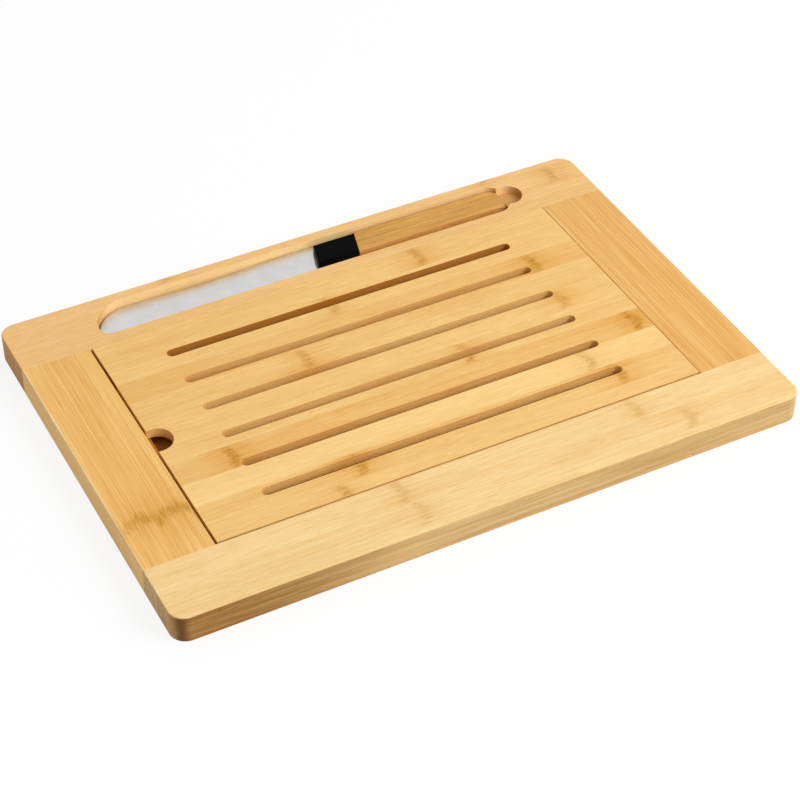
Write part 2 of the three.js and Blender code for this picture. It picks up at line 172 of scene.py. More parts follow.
def new_object(name, points, faces):
    """An object at the origin whose mesh has these points, given in millimetres."""
    mesh = bpy.data.meshes.new(name)
    mesh.from_pydata((np.asarray(points) * MM).tolist(), [], faces)
    obj = bpy.data.objects.new(name, mesh)
    bpy.context.scene.collection.objects.link(obj)
    return obj


def tidy_mesh(obj, fill=False):
    """Merges doubled points, closes open rims with flat faces if asked, and turns all faces out."""
    mesh = bmesh.new()
    mesh.from_mesh(obj.data)
    bmesh.ops.remove_doubles(mesh, verts=mesh.verts, dist=SAME_POINT)
    rims = [edge for edge in mesh.edges if edge.is_boundary] if fill else []
    heights = [round(edge.verts[0].co.z, HEIGHT_DIGITS) for edge in rims]
    for height in sorted(set(heights)):
        level = [edge for edge, own in zip(rims, heights) if own == height]
        bmesh.ops.triangle_fill(mesh, use_beauty=True, edges=level, normal=(0, 0, 1))
    bmesh.ops.recalc_face_normals(mesh, faces=mesh.faces)
    mesh.to_mesh(obj.data)
    mesh.free()
    return obj


def plate(name, line, profile, holes=(), hole_profile=None):
    """Walls carried round an outline and round its holes, closed by flat faces at foot and head.
    Ring i of a wall is the outline drawn in by the profile's depth i, at its height i."""
    points, faces, count = [], [], 0
    for path, section in [(line, profile)] + [(hole, hole_profile) for hole in holes]:
        rings = [np.insert(drawn_in(path, depth), 2, height, axis=1) for depth, height in section]
        points += rings
        faces.append(ring_faces(len(section), len(path)) + count)
        count += len(section) * len(path)
    return tidy_mesh(new_object(name, np.vstack(points), np.vstack(faces).tolist()), fill=True)


def skin(name, rings):
    """A closed skin over a stack of rings: (rings, points round, 3), flat at both ends."""
    count, around = rings.shape[:2]
    faces = ring_faces(count, around).tolist()
    faces += [list(range(around))[::-1], list(range((count - 1) * around, count * around))]
    return tidy_mesh(new_object(name, rings.reshape(-1, 3), faces))


def cut(obj, cutter, operation="DIFFERENCE"):
    """Applies one exact Boolean to obj and removes the cutter."""
    modifier = obj.modifiers.new("cut", "BOOLEAN")
    modifier.operation, modifier.solver, modifier.object = operation, "EXACT", cutter
    graph = bpy.context.evaluated_depsgraph_get()
    mesh = bpy.data.meshes.new_from_object(obj.evaluated_get(graph))
    obj.modifiers.clear()
    obj.data = mesh
    bpy.data.objects.remove(cutter)
    return obj


# %% [markdown]
# The real frame is glued up from four pieces and its outside is rounded over afterwards, so it is
# made that way here: one slab with eased edges, cut for the grid, the tray, the floor panel and the
# dowels. Each cutter widens at the top, which leaves a fine arris on the rim as sandpaper does.

# %% The frame as one slab
TRAY_OVERLAP = 2.0


def block(name, low, high):
    """A plain block between two corners, used only to cut with."""
    (x0, y0, z0), (x1, y1, z1) = low, high
    line = np.array([(x1, y1), (x0, y1), (x0, y0), (x1, y0)], float)
    return plate(name, line, [(0, z0), (0, z1)])


def rim_cutter(name, line, floor):
    """A cutter from a floor up past the board's top: its wall stands straight and turns outwards by
    r (1 - cos a) over the last r in height, where r is the arris, then goes on up."""
    r, a = INNER_ARRIS, np.linspace(0, np.pi / 2, FINE_ARRIS_STEPS + 1)
    turn = np.column_stack([-r * (1 - np.cos(a)), BOARD_Z - r + r * np.sin(a)])
    return plate(name, line, np.vstack([[(0, floor)], turn, [(-r, BOARD_Z + OVERRUN)]]))


slab = plate("slab", board_line, eased(0, BOARD_Z, BOARD_ARRIS, ARRIS_STEPS))
cut(slab, rim_cutter("opening", rectangle(INNER_X, INNER_Y), LEDGE_Z))
tray_x, tray_y = INNER_X - LEDGE, INNER_Y - LEDGE
tray_top = LEDGE_Z + TRAY_OVERLAP
cut(slab, block("tray", (-tray_x, -tray_y, -OVERRUN), (tray_x, tray_y, tray_top)))
room_x, room_y = FLOOR_ROOM_X, FLOOR_ROOM_Y
cut(slab, block("rebate", (-room_x, -room_y, -OVERRUN), (room_x, room_y, FLOOR_Z)))
print("slab faces", len(slab.data.polygons))

# %% Holes for the dowels
for side_x in (-1, 1):
    for side_y in (-1, 1):
        for x in DOWEL_X:
            ring = arc((side_x * x, BOARD_Z / 2), DOWEL_ROOM_RADIUS, 0, 360, DOWEL_STEPS)[:-1]
            ends = side_y * INNER_Y + np.array([-DOWEL_ROOM_REACH, DOWEL_ROOM_REACH])
            rings = np.stack([np.insert(ring, 1, end, axis=1) for end in ends])
            cut(slab, skin("dowel_room", rings))
print("slab faces with dowel holes", len(slab.data.polygons))

# %% [markdown]
# The pocket is milled with three passes: shallow along the blade, deeper along the grip, and a
# round scoop behind the grip where a fingertip tips it up. Each pass is an outline of the knife,
# wider by the clearance all round.

# %% The knife's outlines seen from above
def blade_line(margin):
    """The back sweeps to the tip along a quarter ellipse, a small arc turns under it, and the heel
    slants. Measured from the tip, along the knife's middle."""
    half = HALF_WIDTH + margin
    tip_y = TIP_CORNER - HALF_WIDTH
    sweep = (TIP_SWEEP + margin, 2 * HALF_WIDTH - TIP_CORNER + margin)
    heel = BLADE_LENGTH + HEEL_ENTRY + margin
    return outline(
        (heel - half * SLANT, -half), (heel + half * SLANT, half),
        arc((TIP_SWEEP, tip_y), sweep, 90, 180, TIP_STEPS),
        arc((TIP_CORNER, tip_y), TIP_CORNER + margin, 180, 270, TURN_STEPS),
    )


def grip_line(start, margin):
    """A slanted start, two straight sides and a blunt end with rounded corners."""
    half, radius, turn = HALF_WIDTH + margin, END_RADIUS + margin, KNIFE_LENGTH - END_RADIUS
    return outline(
        (start - half * SLANT, -half),
        arc((turn, radius - half), radius, -90, 0, END_STEPS),
        arc((turn, half - radius), radius, 0, 90, END_STEPS),
        (start + half * SLANT, half),
    )


def placed(line):
    """The outline moved from the knife's tip to its place on the board."""
    return line + (KNIFE_X, KNIFE_Y)


print("blade outline points", len(blade_line(0)))

# %% Milling the pocket and the scoop
grip_room = placed(grip_line(BLADE_LENGTH - FERRULE_NOSE - POCKET_GAP, POCKET_GAP))
scoop_middle = placed(np.array([KNIFE_LENGTH + SCOOP_REACH - SCOOP_RADIUS, 0.0]))
scoop_line = arc(scoop_middle, SCOOP_RADIUS, 0, 360, SCOOP_STEPS)[:-1]
cut(slab, rim_cutter("grip_room", grip_room, KNIFE_Z - HALF_THICK - SEAT_GAP))
blade_room = placed(blade_line(POCKET_GAP))
cut(slab, rim_cutter("blade_room", blade_room, KNIFE_Z - HALF_BLADE - SEAT_GAP))
cut(slab, rim_cutter("scoop", scoop_line, BOARD_Z - SCOOP_DEPTH))
print("slab faces with pocket", len(slab.data.polygons))

# %% Sawing the slab into rails and stiles
def part_of_slab(name, low, high):
    """A copy of the slab kept only inside the block between two corners."""
    obj = bpy.data.objects.new(name, slab.data.copy())
    bpy.context.scene.collection.objects.link(obj)
    return tidy_mesh(cut(obj, block("band", low, high), "INTERSECT"))


# The saw cuts run well past the slab, and the stiles' blocks start in the open middle.
FAR, FOOT, HEAD, OPEN_X = 230.0, -9.0, 30.0, 150.0
bands = {
    "back_rail": ((-FAR, INNER_Y, FOOT), (FAR, FAR, HEAD)),
    "front_rail": ((-FAR, -FAR, FOOT), (FAR, -INNER_Y, HEAD)),
    "left_stile": ((-FAR, -INNER_Y, FOOT), (-OPEN_X, INNER_Y, HEAD)),
    "right_stile": ((OPEN_X, -INNER_Y, FOOT), (FAR, INNER_Y, HEAD)),
}
pieces = {name: part_of_slab(name + "_skin", *corners) for name, corners in bands.items()}
bpy.data.objects.remove(slab)
print({name: len(piece.data.polygons) for name, piece in pieces.items()})

# %% [markdown]
# The grid is one thin panel. Its slots are milled right through with a round cutter, so they have
# half-round ends, and a half-round bite in its left end takes a fingertip. All rims are eased by
# the same fine arris, which catches the light as a thin line. It lies loose, pushed to the back
# right, so its right and back gaps are finer than the other two.

# %% The slotted grid
notch_middle = (NOTCH_REACH - NOTCH_RADIUS - GRID_X, 0.0)
grid_line = outline(
    (GRID_RIGHT, GRID_FRONT), (GRID_RIGHT, GRID_BACK), (GRID_LEFT, GRID_BACK),
    (GRID_LEFT, NOTCH_RADIUS), arc(notch_middle, NOTCH_RADIUS, 90, -90, NOTCH_STEPS),
    (GRID_LEFT, -NOTCH_RADIUS), (GRID_LEFT, GRID_FRONT),
)


def slot_line(y):
    """A straight slot along X with half-round ends."""
    half = SLOT_WIDTH / 2
    right = arc((SLOT_REACH, y), half, -90, 90, SLOT_STEPS)
    left = arc((-SLOT_REACH, y), half, 90, 270, SLOT_STEPS)
    return outline(right, left)


slot_places = (np.arange(SLOT_COUNT) - (SLOT_COUNT - 1) / 2) * SLOT_PITCH
rim = eased(GRID_LOW_Z, BOARD_Z, GRID_ARRIS, FINE_ARRIS_STEPS)
pieces["slotted_grid"] = plate(
    "slotted_grid_skin", grid_line, rim, [slot_line(y) for y in slot_places], rim * (-1, 1),
)
print("slots at", slot_places, "faces", len(pieces["slotted_grid"].data.polygons))

# %% [markdown]
# The blade is a strip of sheet steel, ground thin towards its edge, with a row of shallow hollows
# that make it a bread knife. Its section hardly changes along its length, so it is a skin: the same
# eight points, spread between the edge and the back at each station, and narrowed to the tang that
# runs through the ferrule into the handle.

# %% The blade
BACK_HOLLOW, HOLLOW_MIDDLE, HOLLOW_SPREAD = 1.1, 75.0, 30.0
BLADE_RISE, RISE_START, BLADE_TILT = 1.4, 70.0, 0.05
TIP_STATIONS, FIRST_ANGLE, STATION_PITCH, LAST_STATION, HEEL_STEP = 40, 0.02, 0.5, 141.0, 0.01
EDGE_BREAK, LEAST_BACK, TANG_BEVEL, TANG_TAPER = 0.15, 0.3, 0.5, 1.5


def blade_rings():
    """At station x the edge is at low(x) and the back at high(x). Near the tip low is a small arc,
    high a quarter ellipse; further on low rises by depth |sin| of pi times the hollows passed.
    The back is hollowed by a bell curve. The sheet lies on its edge with its back tilted up, so
    that z grows by the tilt times the way from the edge, and it rises to the ferrule by
    s^2 (3 - 2 s)."""
    tip = TIP_SWEEP * (1 - np.cos(np.linspace(FIRST_ANGLE, np.pi / 2, TIP_STATIONS)))
    heel = BLADE_LENGTH + HEEL_ENTRY
    last = SCALLOP_FIRST + SCALLOP_COUNT * SCALLOP_PITCH
    middle = np.arange(TIP_SWEEP + STATION_PITCH, last, STATION_PITCH)
    x = np.concatenate([tip, middle, [last, LAST_STATION, heel - HEEL_STEP]])
    tip_y = TIP_CORNER - HALF_WIDTH
    sweep = np.sqrt(1 - np.clip(1 - x / TIP_SWEEP, 0, 1) ** 2)
    hollow = BACK_HOLLOW * np.exp(-((x - HOLLOW_MIDDLE) / HOLLOW_SPREAD) ** 2)
    high = tip_y + (HALF_WIDTH - tip_y) * sweep - hollow
    low = tip_y - np.sqrt(TIP_CORNER ** 2 - np.clip(TIP_CORNER - x, 0, None) ** 2)
    passed = np.clip((x - SCALLOP_FIRST) / SCALLOP_PITCH, 0, SCALLOP_COUNT)
    edge = low + SCALLOP_DEPTH * np.abs(np.sin(np.pi * passed))
    grind = np.minimum(low + GRIND_WIDTH, high - LEAST_BACK)
    thick = HALF_EDGE + (HALF_BLADE - HALF_EDGE) * (grind - low) / GRIND_WIDTH
    half_edge = np.full_like(x, HALF_EDGE)
    tang_x = np.array([heel, TANG_END - TANG_TAPER, TANG_END])
    tang_y = np.array([HALF_TANG, HALF_TANG, HALF_TANG - TANG_TAPER])
    tang_z = np.full(len(tang_x), HALF_BLADE)
    x, high = np.append(x, tang_x), np.append(high, tang_y)
    edge, grind = np.append(edge, -tang_y), np.append(grind, TANG_BEVEL - tang_y)
    thick, half_edge = np.append(thick, tang_z), np.append(half_edge, tang_z)
    back = high - EDGE_BREAK
    y = np.stack([high, back, grind, edge, edge, grind, back, high], axis=1)
    z = np.stack([thick - EDGE_BREAK, thick, thick, half_edge], axis=1)
    z = np.concatenate([z, -z[:, ::-1]], axis=1)
    lean = np.clip((x - last) / (heel - last), 0, 1)[:, None]
    s = np.clip((x - RISE_START) / (heel - RISE_START), 0, 1)[:, None]
    rise = BLADE_RISE * s * s * (3 - 2 * s) + BLADE_TILT * (y + HALF_WIDTH)
    return np.stack([x[:, None] + SLANT * lean * y, y, z + rise], axis=-1)


KNIFE_PLACE = np.array([KNIFE_X, KNIFE_Y, KNIFE_Z])
pieces["knife_blade"] = skin("knife_blade_skin", blade_rings() + KNIFE_PLACE)
print("blade faces", len(pieces["knife_blade"].data.polygons))

# %% [markdown]
# The grip has one section from the ferrule to its end: square at the back with rounded corners,
# and planed in to the front by two facets. The ferrule is a moulded sleeve on the same section, a
# little smaller, that ends in a low domed nose round the blade.

# %% The grip's section
FRONT_ROUND, FACET_ROUND = 0.6, 0.5


def rounded(points, reach, steps=5):
    """Rounds corner p between p + r a and p + r b, where a and b point at its neighbours, by the
    curve (1 - s)^2 (p + r a) + 2 s (1 - s) p + s^2 (p + r b)."""
    before, after = np.roll(points, 1, axis=0) - points, np.roll(points, -1, axis=0) - points
    before /= np.linalg.norm(before, axis=1, keepdims=True)
    after /= np.linalg.norm(after, axis=1, keepdims=True)
    r = np.asarray(reach, float)[:, None, None]
    s = np.linspace(0, 1, steps)[None, :, None]
    p, a, b = points[:, None], before[:, None], after[:, None]
    curve = (1 - s) ** 2 * (p + r * a) + 2 * s * (1 - s) * p + s ** 2 * (p + r * b)
    return curve.reshape(-1, 2)


def grip_section(inset):
    """Across and up: the front facets drop towards a narrow front face."""
    front, back, up = inset - HALF_WIDTH, HALF_WIDTH - inset, HALF_THICK - inset
    low = up - FACET_DROP
    corners = np.array([
        (front, -low), (front + FACET_WIDTH, -up), (back, -up), (back, up),
        (front + FACET_WIDTH, up), (front, low),
    ])
    reach = [FRONT_ROUND, FACET_ROUND, BACK_ROUND]
    return rounded(corners, reach + reach[::-1])


def tang_room(start):
    """The slot that the tang sits in, with its clearance all round."""
    reach, half = TANG_END + TANG_ROOM, HALF_TANG + TANG_ROOM
    level = BLADE_RISE + BLADE_TILT * HALF_WIDTH
    up = HALF_BLADE + TANG_ROOM + BLADE_TILT * HALF_TANG
    low, high = (start, -half, level - up), (reach, half, level + up)
    return block("tang_room", KNIFE_PLACE + low, KNIFE_PLACE + high)


print("grip section points", len(grip_section(0)))

# %% The handle
END_EASE, END_CHAMFER, SLANT_FADE = 1.6, 0.25, 13.0
SIDE_STATIONS, END_STATIONS, BEFORE_TURN = 8, 22, 4.0


def handle_rings():
    """The section spread between the plan's two sides. Past the turn the sides close by
    R - sqrt(R^2 - t^2), and over the last stretch e the thickness closes by e - sqrt(e^2 - t^2)."""
    section, ease = grip_section(0), END_EASE
    turn = KNIFE_LENGTH - END_RADIUS
    start = GRIP_START + JOIN_GAP
    side_x = np.linspace(start + SLANT_FADE, turn - BEFORE_TURN, SIDE_STATIONS)
    arc_x = turn + END_RADIUS * np.sin(np.linspace(0, np.pi / 2, END_STATIONS))
    x = np.concatenate([[start, start + END_CHAMFER], side_x, arc_x])
    side = END_RADIUS - np.sqrt(END_RADIUS ** 2 - np.clip(x - turn, 0, END_RADIUS) ** 2)
    over = np.clip(x - KNIFE_LENGTH + ease, 0, ease)
    drop = ease - np.sqrt(np.clip(ease ** 2 - over ** 2, 0, None))
    shrink = np.where(x == start, END_CHAMFER, 0.0)
    y = section[None, :, 0] * (1 - (side + shrink) / HALF_WIDTH)[:, None]
    z = section[None, :, 1] * (1 - (drop + shrink) / HALF_THICK)[:, None]
    lean = np.clip(1 - (x - start) / SLANT_FADE, 0, 1)[:, None]
    return np.stack([x[:, None] + SLANT * lean * y, y, z], axis=-1)


handle = skin("knife_handle_skin", handle_rings() + KNIFE_PLACE)
pieces["knife_handle"] = tidy_mesh(cut(handle, tang_room(GRIP_START - OVERRUN)))
print("handle faces", len(pieces["knife_handle"].data.polygons))

# %% The ferrule
NOSE_RINGS, NOSE_TIP_ANGLE, SLEEVE_CHAMFER, CHAMFER_SHARE, FERRULE_WEB = 14, 0.1, 0.25, 0.985, 3.0


def ferrule_rings():
    """The nose is a low ellipsoid: at angle a it reaches nose cos a ahead of the sleeve and its
    ellipse is sin a of full size. Then comes the sleeve's section, and all of it leans by the
    slant's tangent times y."""
    section = grip_section(FERRULE_INSET)
    across, up = HALF_WIDTH - 2 * FERRULE_INSET, HALF_THICK - 2 * FERRULE_INSET
    turn = np.arctan2(section[:, 1] / up, section[:, 0] / across)
    oval = np.column_stack([across * np.cos(turn), up * np.sin(turn)])
    a = np.linspace(NOSE_TIP_ANGLE, np.pi / 2, NOSE_RINGS)
    nose = np.sin(a)[:, None, None] * oval[None]
    shares = np.array([CHAMFER_SHARE, 1.0, 1.0, CHAMFER_SHARE])
    sleeve = section[None] * shares[:, None, None]
    first, last = BLADE_LENGTH + SLEEVE_CHAMFER, GRIP_START - SLEEVE_CHAMFER
    edges = np.array([BLADE_LENGTH, first, last, GRIP_START])
    x = np.concatenate([BLADE_LENGTH - FERRULE_NOSE * np.cos(a), edges])
    flat = np.concatenate([nose, sleeve])
    lean = x[:, None] + SLANT * flat[..., 0]
    return np.stack([lean, flat[..., 0], flat[..., 1]], axis=-1)


ferrule = skin("knife_ferrule_skin", ferrule_rings() + KNIFE_PLACE)
pieces["knife_ferrule"] = tidy_mesh(cut(ferrule, tang_room(BLADE_LENGTH + FERRULE_WEB)))
print("ferrule faces", len(pieces["knife_ferrule"].data.polygons))

# %% [markdown]
# A finish is a tree of nodes. One helper adds a node with its settings and links, and one turns a
# hex colour, as a paint chart gives it, into the linear values that Blender mixes light with.

# %% Helpers for finishes
def colour(code):
    """Each channel c of an sRGB hex colour turned linear: c / 12.92 up to 0.04045, and above that
    ((c + 0.055) / 1.055)^2.4."""
    c = np.array([int(code[i:i + 2], 16) for i in (0, 2, 4)]) / 255
    return (*np.where(c <= 0.04045, c / 12.92, ((c + 0.055) / 1.055) ** 2.4).tolist(), 1.0)


def add(tree, kind, inputs=None, **settings):
    """Adds a node. An input given as a node's output, or as a node for its first output, is linked,
    and any other is set as a value."""
    node = tree.nodes.new("ShaderNode" + kind)
    for name, value in settings.items():
        setattr(node, name, value)
    for name, value in (inputs or {}).items():
        if isinstance(value, bpy.types.Node):
            value = value.outputs[0]
        if isinstance(value, bpy.types.NodeSocket):
            tree.links.new(value, node.inputs[name])
        else:
            node.inputs[name].default_value = value
    return node


def new_finish(name):
    """An empty material: its node tree and its output node."""
    material = bpy.data.materials.new(name)
    material.use_nodes = True
    material.node_tree.nodes.clear()
    return material, material.node_tree, add(material.node_tree, "OutputMaterial")


print("mid grey 808080 gives back", round(colour("808080")[0], 3), "of the light")

# %% [markdown]
# Bamboo board is pressed from strips about 19 mm wide, laid flat side by side. A picture of bamboo
# could be laid on each face, but it would not run on through a cut. So the pattern reads the
# piece's own millimetres, as real wood does, and a cut shows what lies inside. First come the
# places that every part of the pattern reads: the way along and across the strips, which strip
# this is, and which way the surface faces.

# %% Places in the wood
STRIP_WIDTH = 19.44


def lay_out(tree, origin, along_y):
    """The way along and across the strips and the height, in millimetres; the count of strips from
    the origin on; and the surface's direction, as its upward part and as the square of each part,
    which is one on end grain, on a side wall and on a level face in turn."""
    place = add(tree, "TexCoord").outputs
    turn = (0, 0, -math.pi / 2) if along_y else (0, 0, 0)
    mm = add(tree, "Mapping", {
        "Vector": place["Object"], "Scale": (1 / MM,) * 3, "Rotation": turn,
    })
    axes = add(tree, "SeparateXYZ", {0: mm}).outputs
    counted = add(tree, "Math", {0: axes[1], 1: 1 / STRIP_WIDTH, 2: -origin / STRIP_WIDTH},
                  operation="MULTIPLY_ADD")
    strip = add(tree, "Math", {0: counted}, operation="FLOOR")
    direction = add(tree, "Mapping", {"Vector": place["Normal"], "Rotation": turn})
    up = add(tree, "SeparateXYZ", {0: direction}).outputs[2]
    squared = add(tree, "VectorMath", {0: direction, 1: direction}, operation="MULTIPLY")
    end, side, level = add(tree, "SeparateXYZ", {0: squared}).outputs
    return SimpleNamespace(
        mm=mm, along=axes[0], across=axes[1], height=axes[2], counted=counted, strip=strip,
        up=up, end=end, side=side, level=level,
    )


def grain(tree, lie, length, width, detail, roughness=0.6, distortion=0.0, low=0.3, high=0.7):
    """Noise stretched along the strip to a length and a width in millimetres, other noise in each
    strip, and spread out so that low becomes nought and high becomes one."""
    stretched = add(tree, "VectorMath", {0: lie.mm, 1: (1 / length, 1 / width, 1 / width)},
                    operation="MULTIPLY")
    noise = add(tree, "TexNoise", {
        "Vector": stretched, "W": lie.strip, "Scale": 1.0, "Detail": detail,
        "Roughness": roughness, "Distortion": distortion,
    }, noise_dimensions="4D")
    return add(tree, "MapRange", {0: noise, 1: low, 2: high})


print("strips across the grid", round((GRID_BACK - GRID_FRONT) / STRIP_WIDTH, 1))

# %% [markdown]
# No two strips of a board come from the same stem, so each has its own tone and its own joints. A
# random draw could place them, but this board's are known, so a small table is better: a colour
# ramp with hard steps holds four numbers for each strip, one in each channel.

# %% A row of numbers for each strip
TABLE_SPAN = 1000.0


def strip_ramp(tree, strip, rows):
    """A stepped colour ramp that holds a row of four numbers for each strip."""
    share = add(tree, "Math", {0: strip, 1: 1 / len(rows), 2: 0.5 / len(rows)},
                operation="MULTIPLY_ADD")
    ramp = add(tree, "ValToRGB", {"Fac": share})
    stops = ramp.color_ramp.elements
    stops.remove(stops[1])
    ramp.color_ramp.interpolation = "CONSTANT"
    for index, row in enumerate(rows):
        stop = stops[0] if index == 0 else stops.new(index / len(rows))
        stop.color = row
    return ramp


def strip_table(tree, strip, strips):
    """Looks up a strip's row: the middle between its two knuckles, half the way between them, their
    strength and the strip's tone. The first two are packed into nought to one by the span."""
    ramp = strip_ramp(tree, strip, [
        ((one + other) / 2 / TABLE_SPAN + 0.5, abs(one - other) / 2 / TABLE_SPAN, strength, tone)
        for one, other, strength, tone in strips
    ])
    packed = add(tree, "SeparateColor", {"Color": ramp}).outputs
    middle = add(tree, "Math", {0: packed[0], 1: TABLE_SPAN, 2: -TABLE_SPAN / 2},
                 operation="MULTIPLY_ADD")
    half = add(tree, "Math", {0: packed[1], 1: TABLE_SPAN}, operation="MULTIPLY")
    return middle, half, packed[2], ramp.outputs["Alpha"]


print("places in the table reach", TABLE_SPAN / 2, "mm each way")

# %% [markdown]
# Every 15 to 30 cm a strip shows a knuckle: a soft bent band of golden brown, tangled fibre where
# the stem had a joint, in a wide and faint halo. The band is a smooth hump over the way to the
# nearer knuckle, and grain added to that way makes its sides ragged. On walls it doesn't show.

# %% Knuckles
# Each grain is a length and a width in millimetres, and the noise's detail.
RAGGED_GRAIN, FRINGE_GRAIN, TANGLE_WIDTH, TANGLE_DETAIL = (9, 5, 3), (12, 0.7, 2), 0.8, 2
FRINGE_REACH, HALO_REACHES, SIDES_FROM = 9.0, 4, 0.3
TANGLE_LOW, TANGLE_HIGH = 0.42, 0.62
# Each pair is for a crisp knuckle and for a soft one.
TANGLE_LENGTH, TANGLE_DISTORTION = (3.5, 8.5), (1.4, 0.4)
TANGLE_LEAST, SIDE_STRENGTH = (0.15, 0.4), (0.25, 1.0)


def between(share, first, second):
    """The value first + share (second - first)."""
    return first + share * (second - first)


def knuckles(tree, lie, middle, half, strength, reach, arch, soft):
    """How strongly a knuckle and its halo show. The way to the nearer one is
    | |along - middle| - half - reach / 4 |, bent by the square of the way from the strip's middle
    to its sides and made ragged. A soft knuckle fills its strip evenly and has a long fringe."""
    inner = add(tree, "Math", {0: lie.counted}, operation="FRACT")
    aside = add(tree, "MapRange", {0: inner, 3: -1.0, 4: 1.0})
    aside = add(tree, "Math", {0: aside, 1: aside}, operation="MULTIPLY")
    way = lie.along
    for part, size in ((aside, arch), (grain(tree, lie, *RAGGED_GRAIN), reach / 2),
                       (grain(tree, lie, *FRINGE_GRAIN), FRINGE_REACH * soft)):
        way = add(tree, "Math", {0: part, 1: size, 2: way}, operation="MULTIPLY_ADD")
    way = add(tree, "Math", {0: way, 1: middle}, operation="SUBTRACT")
    way = add(tree, "Math", {0: way}, operation="ABSOLUTE")
    way = add(tree, "Math", {0: way, 1: half}, operation="SUBTRACT")
    way = add(tree, "Math", {0: way, 1: reach / 4}, operation="SUBTRACT")
    way = add(tree, "Math", {0: way}, operation="ABSOLUTE")
    band = add(tree, "MapRange", {0: way, 2: reach, 3: 1.0, 4: 0.0},
               interpolation_type="SMOOTHERSTEP")
    halo = add(tree, "MapRange", {0: way, 2: HALO_REACHES * reach, 3: 1.0, 4: 0.0},
               interpolation_type="SMOOTHSTEP")
    halo = add(tree, "Math", {0: halo, 1: strength}, operation="MULTIPLY")
    tangle = grain(tree, lie, between(soft, *TANGLE_LENGTH), TANGLE_WIDTH, TANGLE_DETAIL,
                   distortion=between(soft, *TANGLE_DISTORTION), low=TANGLE_LOW,
                   high=TANGLE_HIGH)
    tangle = add(tree, "MapRange", {0: tangle, 3: between(soft, *TANGLE_LEAST), 4: 1.0})
    inside = add(tree, "MapRange", {0: aside, 1: SIDES_FROM, 3: 1.0,
                                    4: between(soft, *SIDE_STRENGTH)})
    for part in (tangle, inside, strength, lie.level):
        band = add(tree, "Math", {0: band, 1: part}, operation="MULTIPLY")
    return band, halo


print("fringe of a soft knuckle", FRINGE_REACH, "mm")

# %% [markdown]
# Where a cutter has gone across the strips, the open end grain has drunk more oil and is darker,
# and it is darkened further as painted shade where such walls face away from the lamp. A wall cut
# along them shows their edges as fine layers, each strip's in its own tone and partly darkened as
# painted shade, and the floor of a hollow is a little darker too, as painted shade. Each of these is
# a share of one mix of staining and painted shade, and the shares add up. More painted shade makes
# the walls browner towards the board's left end and darkest round its corner, where less light falls.

# %% Staining and painted shade on walls, ends and hollows
LAYER_GRAIN, PORE_GRAIN = (70, 2.4, 3), (11, 0.6, 2)
PORE_LOW, PORE_HIGH = 0.6, 0.8
PORE_SHARE, LEFT_SHADE_SHARE = 0.4, 0.5
# Painted shade on the floors of hollows: up-facing faces darken from half a millimetre below the top,
# fully from one millimetre down.
SUNK_FROM, SUNK_TO = BOARD_Z - 0.5, BOARD_Z - 1
# Painted shade: walls darken towards the left end between these two places, where less light falls.
LEFT_SHADE_FROM, LEFT_SHADE_TO = -0.25 * BOARD_X, -0.75 * BOARD_X
CORNER_GAIN = 27 / 4


def stains_and_shade(tree, lie, wall_shares, layers, end_stain_and_shade, floor_painted_shade, painted_left_shade):
    """The share of staining and painted shade, and how much painted shade darkens a corner. With e
    and s the squares that mark end grain and side walls, the corner is s^2 e times 27/4, which is one
    at its highest, times the painted shade towards the left end."""
    upright = add(tree, "MapRange", {0: lie.level, 3: 1.0, 4: 0.0})
    # Each strip's walls darken, partly for the strip's own tone and partly as painted shade in slots
    # and along outer sides.
    walls = strip_ramp(tree, lie.strip, [(share, share, share, 1.0) for share in wall_shares])
    walls = add(tree, "Math", {0: upright, 1: walls}, operation="MULTIPLY")
    edges = add(tree, "Math", {0: grain(tree, lie, *LAYER_GRAIN), 1: upright},
                operation="MULTIPLY")
    # Painted shade on the floors of hollows.
    sunk = add(tree, "MapRange", {0: lie.height, 1: SUNK_TO, 2: SUNK_FROM, 3: 1.0, 4: 0.0})
    upwards = add(tree, "MapRange", {0: lie.up})
    sunk = add(tree, "Math", {0: sunk, 1: upwards}, operation="MULTIPLY")
    # Painted shade on upright faces, growing towards the left end.
    brown = add(tree, "MapRange", {
        0: lie.along, 1: LEFT_SHADE_TO, 2: LEFT_SHADE_FROM, 3: painted_left_shade, 4: 0.0,
    }, interpolation_type="SMOOTHSTEP")
    brown = add(tree, "Math", {0: brown, 1: upright}, operation="MULTIPLY")
    pores = grain(tree, lie, *PORE_GRAIN, low=PORE_LOW, high=PORE_HIGH)
    stain_and_shade = 0.0
    for part, share in ((walls, 1.0), (lie.end, end_stain_and_shade), (sunk, floor_painted_shade),
                        (pores, PORE_SHARE), (edges, layers), (brown, LEFT_SHADE_SHARE)):
        stain_and_shade = add(tree, "Math", {0: part, 1: share, 2: stain_and_shade}, operation="MULTIPLY_ADD")
    # Painted shade round the corner, darkest where end grain meets the side.
    corner = lie.side
    for part in (lie.side, lie.end, CORNER_GAIN, brown):
        corner = add(tree, "Math", {0: corner, 1: part}, operation="MULTIPLY")
    return stain_and_shade, corner


# The floors of hollows carry painted shade from this depth down.
print("hollows are stained from", BOARD_Z - SUNK_FROM, "mm down")

# %% [markdown]
# The finish puts these together. The wood's own colour goes from pale to deep by a sum of fibres,
# streaks, a slow drift, the strip's tone and the knuckle's halo, each with its share, and side walls
# go deeper or paler by a share of painted shade or painted light. Knuckles, staining and painted
# shade, the corner's painted shade and a painted highlight along the outer edge are then mixed over
# it, one after another. The oiled surface is satin, a little rougher in the fibres, and their relief
# is a tenth of a millimetre.

# %% Bamboo
DRIFT_GRAIN, SHINE_GRAIN = (110, 15, 2), (30, 6, 2)
HALO_SHARE, KNUCKLE_RELIEF, RELIEF_HEIGHT, SHEEN_SPREAD = 0.25, -0.5, 0.1, 0.2
